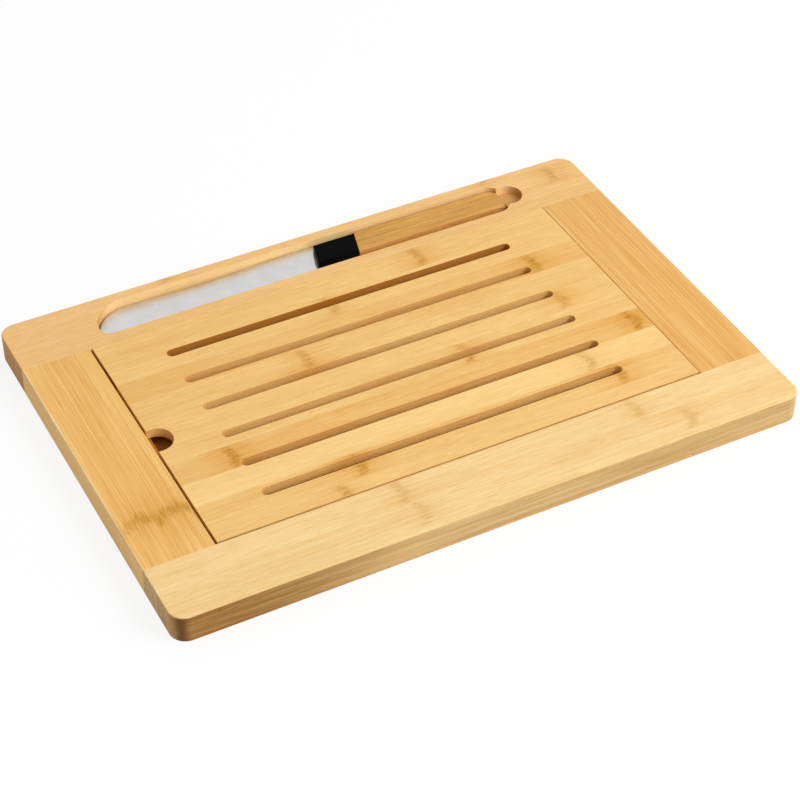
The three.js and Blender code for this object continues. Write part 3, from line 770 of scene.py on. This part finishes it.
# A painted highlight lies along the outer edge between these two places, where the edge catches
# light; then the colours of the painted corner shade and of that highlight.
SHINE_FROM, SHINE_TO = BOARD_X - 1, BOARD_X - 2.2
CORNER_SHADE_BROWN, SHINE_PALE = "6C4208", "FFECC8"


def bamboo(name, pale, deep, knuckle, strips, origin=0.0, along_y=False, fibre=0.5, streak=0.3,
           drift=0.25, tone=0.8, fibre_size=(13, 0.6), streak_size=(80, 1.8), reach=6.0, arch=3.0,
           soft=0.0, wall=0.0, wall_stain_and_shade=0.2, wall_shares=None, layers=0.15, end_stain_and_shade=0.6,
           floor_painted_shade=0.4, browned=None, painted_left_shade=0.0, painted_edge_shine=0.0, rough=0.45):
    """Strips laid side by side from the origin on, each along X or else along Y. Side walls are
    deeper by the share wall, as painted shade, or paler where it is below nought, as painted light. A
    strip's wall is darkened by the walls' share times the cube of twice its tone, or by a share of
    its own, partly for its tone and partly as painted shade. Staining and painted shade take the
    knuckle's colour, or a browned one. A painted highlight, where the outer edge catches the light,
    is a paler broken line, 2 mm wide, along the board's outer side."""
    material, tree, output = new_finish(name)
    lie = lay_out(tree, origin, along_y)
    middle, half, strength, strip_tone = strip_table(tree, lie.strip, strips)
    mask, halo = knuckles(tree, lie, middle, half, strength, reach, arch, soft)
    shares = wall_shares or [wall_stain_and_shade * (2 * own) ** 3 for *_, own in strips]
    stain_and_shade, corner = stains_and_shade(tree, lie, shares, layers, end_stain_and_shade, floor_painted_shade, painted_left_shade)

    fibres, streaks = grain(tree, lie, *fibre_size, 3), grain(tree, lie, *streak_size, 4)
    # Side walls go deeper or paler by the share wall: painted shade or painted light.
    depth = 0.5 - (fibre + streak + drift + tone) / 2
    for part, share in ((fibres, fibre), (streaks, streak),
                        (grain(tree, lie, *DRIFT_GRAIN), drift), (strip_tone, tone),
                        (halo, HALO_SHARE), (lie.side, wall)):
        depth = add(tree, "Math", {0: part, 1: share, 2: depth}, operation="MULTIPLY_ADD")

    # Painted highlight: a paler broken line along the outer edge, where it catches the light.
    painted_shine = add(tree, "MapRange", {0: lie.across, 1: SHINE_TO, 2: SHINE_FROM, 3: 0.0,
                                    4: painted_edge_shine})
    for part in (lie.level, grain(tree, lie, *SHINE_GRAIN)):
        painted_shine = add(tree, "Math", {0: painted_shine, 1: part}, operation="MULTIPLY")
    # Mixed over the wood in turn: knuckles, staining with painted shade, the corner's painted shade
    # and the painted highlight.
    wood = colour(pale)
    for share, code in ((depth, deep), (mask, knuckle), (stain_and_shade, browned or knuckle),
                        (corner, CORNER_SHADE_BROWN), (painted_shine, SHINE_PALE)):
        wood = add(tree, "Mix", {0: share, 6: wood, 7: colour(code)}, data_type="RGBA").outputs[2]

    sheen = add(tree, "MapRange", {0: fibres, 3: rough, 4: rough + SHEEN_SPREAD})
    relief = add(tree, "Math", {0: mask, 1: KNUCKLE_RELIEF, 2: fibres}, operation="MULTIPLY_ADD")
    bump = add(tree, "Bump", {
        "Height": relief, "Strength": 0.2, "Distance": RELIEF_HEIGHT * MM,
    })
    shader = add(tree, "BsdfPrincipled", {
        "Base Color": wood, "Roughness": sheen, "Normal": bump, "IOR": 1.5,
        "Specular IOR Level": 0.2,
    })
    tree.links.new(shader.outputs[0], output.inputs["Surface"])
    return material


# The painted highlight along the outer edge fades in over this width.
print("a rubbed edge is", round(SHINE_FROM - SHINE_TO, 1), "mm of fading and 1 mm of full line")

# %% [markdown]
# Each piece has its own table. A row is the places of two knuckles along the strip, in
# millimetres, their strength, and the strip's tone from pale at nought to deep at one. They were
# chosen from the real board, and so was each strip's share of staining and painted shade on its
# walls in the grid's slots. The stiles are coarser and darker than the rails, and the handle is
# oiled darkest, with painted shade along its front facet.

# %% Bamboo for each piece
NONE = (0, 0, 0.0)
GRID_FIRST, FRONT_FIRST, BACK_FIRST, HANDLE_FIRST = -100.9, -151.7, 93.5, 89.8
LEFT_FIRST, RIGHT_FIRST, FLOOR_FIRST = 157.0, -215.2, -116.6
GRID_STRIPS = [
    (-71, 219, 0.7, 0.45), (-54, 116, 1.0, 0.54), (105, -185, 0.55, 0.2), (-115, 149.5, 1.2, 0.66),
    (45, -245, 0.9, 0.5), (120, -170, 0.75, 0.45), (-41, 249, 0.8, 0.5), (123, -167, 1.0, 0.65),
    (-5, 285, 0.7, 0.45), (62, -228, 0.9, 0.5),
]
# Each strip's wall share in the grid's slots: partly its own tone, partly painted shade in the slots.
GRID_WALLS = (0.2, 0.0, 0.1, 0.1, 0.0, 0.1, 0.0, 0.0, 0.8, 0.2)
FRONT_STRIPS = [(*NONE, 0.45), (-38, 133, 0.5, 0.5), (-42, 109, 0.5, 0.4)]
BACK_STRIPS = [(*NONE, 0.5), (183, 473, 0.7, 0.5), (-86, 137, 0.8, 0.45)]
LEFT_STRIPS = [(-48, 235, 0.95, 0.55), (-48, 230, 0.95, 0.5), (-51, 233, 0.5, 0.4)]
RIGHT_STRIPS = [(*NONE, 0.5), (*NONE, 0.55), (*NONE, 0.45)]
FLOOR_STRIPS = [(20, -250, 0.5, 0.4), (-70, 240, 0.5, 0.6), (90, -190, 0.5, 0.5)] * 4
# The handle's deep first strip runs along its front facet as painted shade.
HANDLE_STRIPS = [(*NONE, 0.85), (*NONE, 0.35), (*NONE, 0.8)]
STILE_GRAIN = dict(along_y=True, fibre=0.65, streak=0.6, drift=0.2, tone=0.6, fibre_size=(40, 0.6),
                   streak_size=(180, 1.1), reach=8.0, arch=5.0, soft=1.0, wall_stain_and_shade=0.1)

finish = {}
finish["slotted_grid"] = bamboo(
    "pressed bamboo, grid", "FFDA94", "E4A750", "BC7E08", GRID_STRIPS, GRID_FIRST,
    end_stain_and_shade=0.35, layers=0.05, wall_shares=GRID_WALLS, browned="B46A08", soft=0.2,
)
# The front rail's walls, its outer front side among them, are darkened as painted shade, browner
# towards the left end and darkest round the front-left corner.
finish["front_rail"] = bamboo(
    "pressed bamboo, front rail", "FFE4AA", "E8B264", "C08A1C", FRONT_STRIPS, FRONT_FIRST,
    streak=0.4, wall_stain_and_shade=0.3, layers=0.35, end_stain_and_shade=-0.3, painted_left_shade=0.9, browned="94601A",
    soft=0.5,
)
# The back rail's side walls, the pocket's back wall among them, are paler as painted light, and its
# end grain is darker, partly as painted shade.
finish["back_rail"] = bamboo(
    "pressed bamboo, back rail", "FFD898", "E2A456", "B87C14", BACK_STRIPS, BACK_FIRST,
    wall=-0.5, wall_stain_and_shade=0.0, end_stain_and_shade=0.7, browned="A8701C",
)
# The left stile's outer edge carries the painted highlight, its side walls are paler as painted
# light, and its ledge takes full painted shade as the floor of a hollow.
finish["left_stile"] = bamboo(
    "pressed bamboo, left stile", "FFD284", "E0A24C", "C4861A", LEFT_STRIPS, LEFT_FIRST,
    wall=-0.35, floor_painted_shade=1.0, browned="C07C1C", painted_edge_shine=0.6, **STILE_GRAIN,
)
finish["right_stile"] = bamboo(
    "pressed bamboo, right stile", "F8CB80", "D79640", "C07C1C", RIGHT_STRIPS, RIGHT_FIRST,
    **STILE_GRAIN,
)
# The tray floor's colours are darker and redder than the rest of the board: painted shade for the dim
# tray under the grid.
finish["tray_floor"] = bamboo(
    "pressed bamboo, tray floor", "DC9648", "AE622A", "6E3A10", FLOOR_STRIPS, FLOOR_FIRST,
)
finish["knife_handle"] = bamboo(
    "oiled bamboo, handle", "E8B460", "A8681C", "8A5214", HANDLE_STRIPS, HANDLE_FIRST,
    streak=0.5, streak_size=(60, 2.0), wall_stain_and_shade=0.15, floor_painted_shade=0.0, rough=0.4,
)
finish["dowel"] = bamboo(
    "raw dowel wood", "E8C793", "C99B5C", "8A5A20", [(*NONE, 0.5)], along_y=True,
)
print("bamboo finishes", len(finish))

# %% [markdown]
# The blade is stainless sheet with a satin grind: fine lines across its width, a quarter of a
# millimetre apart, that spread each reflection. Their height is a few micrometres, far too fine to
# see one by one, so they are drawn as a slight change in roughness and a very low relief.

# %% Satin steel
GRIND_LINE = (0.25, 12.5, 12.5)
STEEL_CLOUDS_PER_MM = 0.09
finish["knife_blade"], tree, output = new_finish("satin ground stainless steel")
place = add(tree, "TexCoord").outputs["Object"]
mm = add(tree, "Mapping", {"Vector": place, "Scale": (1 / MM,) * 3})
ground = add(tree, "VectorMath", {0: mm, 1: GRIND_LINE}, operation="DIVIDE")
lines = add(tree, "TexNoise", {"Vector": ground, "Scale": 1.0, "Detail": 4.0, "Roughness": 0.6})
cloud = add(tree, "TexNoise", {"Vector": mm, "Scale": STEEL_CLOUDS_PER_MM, "Detail": 2.0})
tint = add(tree, "Mix", {0: cloud, 6: colour("C8C8C8"), 7: colour("DDDDDD")}, data_type="RGBA")
rough = add(tree, "MapRange", {0: lines, 3: 0.3, 4: 0.46})
relief = add(tree, "Bump", {"Height": lines, "Strength": 0.08, "Distance": 0.02 * MM})
steel = add(tree, "BsdfPrincipled", {
    "Base Color": tint.outputs[2], "Metallic": 1.0, "Roughness": rough, "Normal": relief,
})
tree.links.new(steel.outputs[0], output.inputs["Surface"])
print("ground lines", GRIND_LINE[0], "mm apart and", GRIND_LINE[1], "mm long")

# %% [markdown]
# The ferrule is moulded in deep black plastic with a smooth skin. A mould leaves a very fine
# texture, so its gloss varies a little from place to place, and that keeps the black from looking
# painted on. Its domed nose, on the slanted end towards the blade, is coloured grey as a painted
# reflection of the bright studio in its curve.

# %% Black moulded plastic
MOULD_PORES_PER_MM, MOULD_CLOUDS_PER_MM = 1.5, 0.12
NOSE_START = KNIFE_X + BLADE_LENGTH - SLANT * KNIFE_Y
# Painted reflection: the nose is grey up to the first place and black from the second on.
GREY_UP_TO, BLACK_FROM = NOSE_START - 1.6, NOSE_START + 0.2
finish["knife_ferrule"], tree, output = new_finish("black moulded plastic")
place = add(tree, "TexCoord").outputs["Object"]
mm = add(tree, "Mapping", {"Vector": place, "Scale": (1 / MM,) * 3})
pores = add(tree, "TexNoise", {"Vector": mm, "Scale": MOULD_PORES_PER_MM, "Detail": 3.0})
cloud = add(tree, "TexNoise", {"Vector": mm, "Scale": MOULD_CLOUDS_PER_MM, "Detail": 2.0})
black = add(tree, "Mix", {0: cloud, 6: colour("020202"), 7: colour("060606")}, data_type="RGBA")
axes = add(tree, "SeparateXYZ", {0: mm}).outputs
ahead = add(tree, "Math", {0: axes[1], 1: -SLANT, 2: axes[0]}, operation="MULTIPLY_ADD")
# The nose's grey is a painted reflection of the bright studio in its curve.
painted_shine = add(tree, "MapRange", {0: ahead, 1: GREY_UP_TO, 2: BLACK_FROM, 3: 1.0, 4: 0.0})
tint = add(tree, "Mix", {0: painted_shine, 6: black.outputs[2], 7: colour("8C8C8E")}, data_type="RGBA")
rough = add(tree, "MapRange", {0: cloud, 3: 0.25, 4: 0.4})
relief = add(tree, "Bump", {"Height": pores, "Strength": 0.1, "Distance": 0.03 * MM})
plastic = add(tree, "BsdfPrincipled", {
    "Base Color": tint.outputs[2], "Roughness": rough, "Normal": relief, "IOR": 1.49,
    "Specular IOR Level": 0.02,
})
tree.links.new(plastic.outputs[0], output.inputs["Surface"])
print("finishes", sorted(finish))

# %% [markdown]
# Each skin now stands for its CAD node and rides on that node's body, so the grid and the knife
# lift off as they do on the real board. Flat faces are shaded flat and round ones smooth. The
# tray's floor and the dowels keep their CAD shape, a plain panel and plain pins, and only get their
# finish.

# %% Put the skins in place of the CAD nodes
record = frame["record"]
body_of = {n: body for body, nodes in record["behaviour"]["bodies"].items() for n in nodes}
SHARP = math.radians(32)
LEAST_LEVEL = 0.99999


def shade_faces(obj):
    """Faces square to an axis are flat. The rest are smooth, with a crease at each sharp turn."""
    mesh = obj.data
    normals = np.empty(len(mesh.polygons) * 3)
    mesh.polygons.foreach_get("normal", normals)
    level = (np.abs(normals.reshape(-1, 3)) > LEAST_LEVEL).any(axis=1)
    mesh.shade_smooth()
    mesh.set_sharp_from_angle(angle=SHARP)
    mesh.polygons.foreach_set("use_smooth", ~level)
    mesh.update()


for node, piece in pieces.items():
    piece.data.materials.clear()
    piece.data.materials.append(finish[node])
    shade_faces(piece)
    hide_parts(node)
    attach(piece, body_of[node])

for node, obj in frame["nodes"].items():
    if node not in pieces:
        obj.material_slots[0].material = finish["tray_floor" if node == "tray_floor" else "dowel"]
print("skins", len(pieces), "CAD nodes shown", len(frame["nodes"]) - len(pieces))

# %% [markdown]
# The studio is white, as for a catalogue picture. Over half of the light is an even sky, and one
# large lamp in front and to the right lifts the walls that face it. Sky and lamp together light a
# level surface so that a colour renders about as it is written. The table is white paper to the
# camera and keeps a soft shadow, but it throws only part of its light back up, so the board's sides
# stay darker than its top.

# %% Floor
def seen_directly(tree):
    """One for a ray from the camera, off a gloss or through glass, and nought for the rays that
    carry light from face to face."""
    path = add(tree, "LightPath").outputs
    seen = path["Is Camera Ray"]
    for kind in ("Is Glossy Ray", "Is Transmission Ray"):
        seen = add(tree, "Math", {0: seen, 1: path[kind]}, operation="MAXIMUM")
    return seen


FLOOR_HALF, FLOOR_DROP = 6.0, 0.0002
floor_mesh = bpy.data.meshes.new("studio_floor")
floor_corners = np.insert(rectangle(FLOOR_HALF, FLOOR_HALF), 2, -FLOOR_DROP, axis=1)
floor_mesh.from_pydata(floor_corners.tolist(), [], [[0, 1, 2, 3]])
floor = bpy.data.objects.new("studio_floor", floor_mesh)
bpy.context.scene.collection.objects.link(floor)
paper, tree, output = new_finish("white paper floor")
matt = add(tree, "BsdfDiffuse", {"Color": colour("FFFFFF")})
white = add(tree, "Emission", {"Color": (1, 1, 1, 1), "Strength": 1.0})
shown = add(tree, "MixShader", {0: 0.85, 1: matt, 2: white})
dim = add(tree, "BsdfDiffuse", {"Color": colour("D8D8D8")})
top = add(tree, "MixShader", {0: seen_directly(tree), 1: dim, 2: shown})
tree.links.new(top.outputs[0], output.inputs["Surface"])
floor_mesh.materials.append(paper)
print("floor", 2 * FLOOR_HALF, "m wide and", FLOOR_DROP / MM, "mm below the board")

# %% Sky and lamp
SKY = 0.6
world = bpy.data.worlds.new("studio")
bpy.context.scene.world = world
world.use_nodes = True
tree = world.node_tree
tree.nodes.clear()
power = add(tree, "MapRange", {0: seen_directly(tree), 3: SKY, 4: 1.0})
sky = add(tree, "Background", {"Color": (1, 1, 1, 1), "Strength": power})
tree.links.new(sky.outputs[0], add(tree, "OutputWorld").inputs["Surface"])

LAMP_AIM = np.array([0.8, -0.85, 1.0])
LAMP_SIZE, LAMP_POWER, LAMP_FAR = 1.6, 41.0, 2.5
lamp_data = bpy.data.lights.new("soft_box", "AREA")
lamp_data.shape, lamp_data.size, lamp_data.energy = "DISK", LAMP_SIZE, LAMP_POWER
lamp = bpy.data.objects.new("soft_box", lamp_data)
lamp.location = LAMP_AIM / np.linalg.norm(LAMP_AIM) * LAMP_FAR
lamp.rotation_euler = lamp.location.to_track_quat("Z", "Y").to_euler()
bpy.context.scene.collection.objects.link(lamp)
print("sky", SKY, "lamp", LAMP_POWER, "W")

# %% [markdown]
# The camera stands in front and to the left and looks down at 41 degrees. Its lens is long, as in
# the photograph, so the board's sides run almost parallel. All of it was solved from the board's
# straight edges. A focal length in pixels becomes one in millimetres by the sensor's width.

# %% Camera
SENSOR_WIDTH, PHOTO_WIDTH, FOCAL_PIXELS = 36.0, 800, 2239.3
CAMERA_PLACE, CAMERA_TURN = (-0.4663, -0.9104, 0.8776), (48.96, 0.0, -27.34)
camera_data = bpy.data.cameras.new("camera")
camera_data.sensor_width = SENSOR_WIDTH
camera_data.sensor_fit = "HORIZONTAL"
camera_data.lens = SENSOR_WIDTH * FOCAL_PIXELS / PHOTO_WIDTH
camera = bpy.data.objects.new("camera", camera_data)
camera.location = CAMERA_PLACE
camera.rotation_euler = np.radians(CAMERA_TURN)
bpy.context.scene.collection.objects.link(camera)
bpy.context.scene.camera = camera
bpy.context.scene.view_settings.view_transform = "Standard"
print("lens", round(camera_data.lens, 2), "mm")

# %% [markdown]
# Last, the scene is brought up to date. The skins fill the same room as the solids that they stand
# for.

# %% Bring the scene up to date
bpy.context.view_layer.update()
